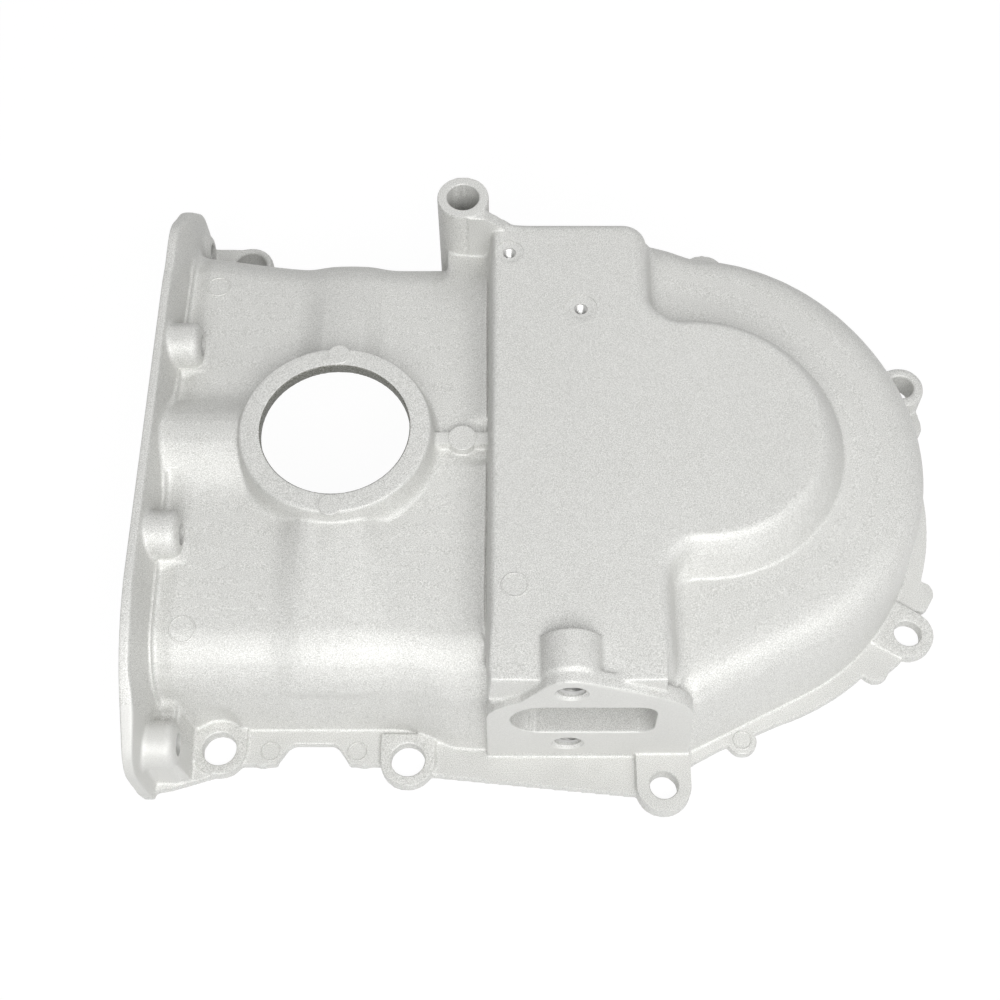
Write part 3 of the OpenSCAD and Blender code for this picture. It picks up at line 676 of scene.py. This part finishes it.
PUMP_FACE_Y, PUMP_FACE_Z, THROAT_SKIN_R = -102.4, 7.5, 27.4
DARK_SKIN, PALE_SKIN = (0.52, 0.52, 0.5, 1), (0.74, 0.74, 0.72, 1)
tree = Finish(aluminium)
here = tree.get("ShaderNodeTexCoord", {}, {}, out=3)
axes = tree.node("ShaderNodeSeparateXYZ", {}, {"Vector": here})
at_x, at_y, at_z = (Knot(tree, socket) for socket in axes.outputs)
pump_face = at_y.math("LESS_THAN", PUMP_FACE_Y * MM) * at_z.math("GREATER_THAN", PUMP_FACE_Z * MM)
out_of_axis = (at_x * at_x + at_y * at_y).math("SQRT")
# This mask paints shade: it darkens the colour inside the crank's throat, where the cover keeps the light out.
throat_shade = out_of_axis.math("LESS_THAN", THROAT_SKIN_R * MM)
grain = noise(tree, here, 3000, 1)
mottle = noise(tree, here, 190, 3)
drift = noise(tree, here, 16, 2)
rough_skin = 1 - pump_face * 0.75
tone = (grain - 0.5) * rough_skin * 3.6 + (mottle - 0.5) * rough_skin * 0.3 + (drift - 0.5) * 0.16 - throat_shade * 1.9
colour = tree.get("ShaderNodeMix", {"data_type": "RGBA", "clamp_factor": False},
                  {0: tone + 0.5, 6: DARK_SKIN, 7: PALE_SKIN}, out=2)
relief = tree.get("ShaderNodeBump", {}, {"Strength": 0.3, "Distance": 0.2 * MM,
                                         "Height": (grain + mottle * 0.6) * rough_skin})
surface = tree.get("ShaderNodeBsdfPrincipled", {}, {
    "Base Color": colour, "Metallic": 0.25, "Roughness": 0.56 + (mottle - 0.5) * 0.2, "Normal": relief})
tree.node("ShaderNodeOutputMaterial", {}, {"Surface": surface})
print("cast skin has", len(tree.nodes), "nodes")

# %% [markdown]
# ## Drilled aluminium with painted shade
# A drill leaves metal with fine turned streaks. The real holes look dark, because a deep hole reflects its own inside.
# So the finish is shinier than the skin, its colour is painted dark as the shade inside the holes, and a noise of
# medium size stands for the streaks.

# %% Drilled aluminium
# Both colours are painted shade: they make the inside of the holes dark.
PAINTED_HOLE_SHADE_DARK, PAINTED_HOLE_SHADE_PALE = (0.16, 0.16, 0.155, 1), (0.44, 0.44, 0.43, 1)
tree = Finish(drilled_with_painted_shade)
here = tree.get("ShaderNodeTexCoord", {}, {}, out=3)
streaks = noise(tree, here, 900, 2)
colour = tree.get("ShaderNodeMix", {"data_type": "RGBA"},
                  {0: streaks, 6: PAINTED_HOLE_SHADE_DARK, 7: PAINTED_HOLE_SHADE_PALE}, out=2)
surface = tree.get("ShaderNodeBsdfPrincipled", {}, {
    "Base Color": colour, "Metallic": 0.9, "Roughness": 0.26 + streaks * 0.2})
tree.node("ShaderNodeOutputMaterial", {}, {"Surface": surface})
print("drilled metal has", len(tree.nodes), "nodes")

# %% [markdown]
# ## Tapped aluminium
# The crests of a thread catch the light, so the threads are one brighter, smoother metal. It is the same all
# over, so its values stand on the shader itself.

# %% Tapped aluminium
tapped = bpy.data.materials.new("tapped_aluminium")
tree = Finish(tapped)
surface = tree.get("ShaderNodeBsdfPrincipled", {}, {
    "Base Color": (0.5, 0.5, 0.49, 1), "Metallic": 0.85, "Roughness": 0.3})
tree.node("ShaderNodeOutputMaterial", {}, {"Surface": surface})
print("tapped metal has", len(tree.nodes), "nodes")

# %% [markdown]
# ## Finishes and bodies
# The threads and the marks get their finishes. All three pieces belong to the one casting, so they ride on its body,
# and the soft casting stands in for the solid.

# %% Finishes and bodies
threads.data.materials.append(tapped)
pins.data.materials.append(aluminium)
for piece in (cover, threads, pins):
    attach(piece, "root")
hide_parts("timing_cover")
print("finishes on", cover.name, threads.name, pins.name)
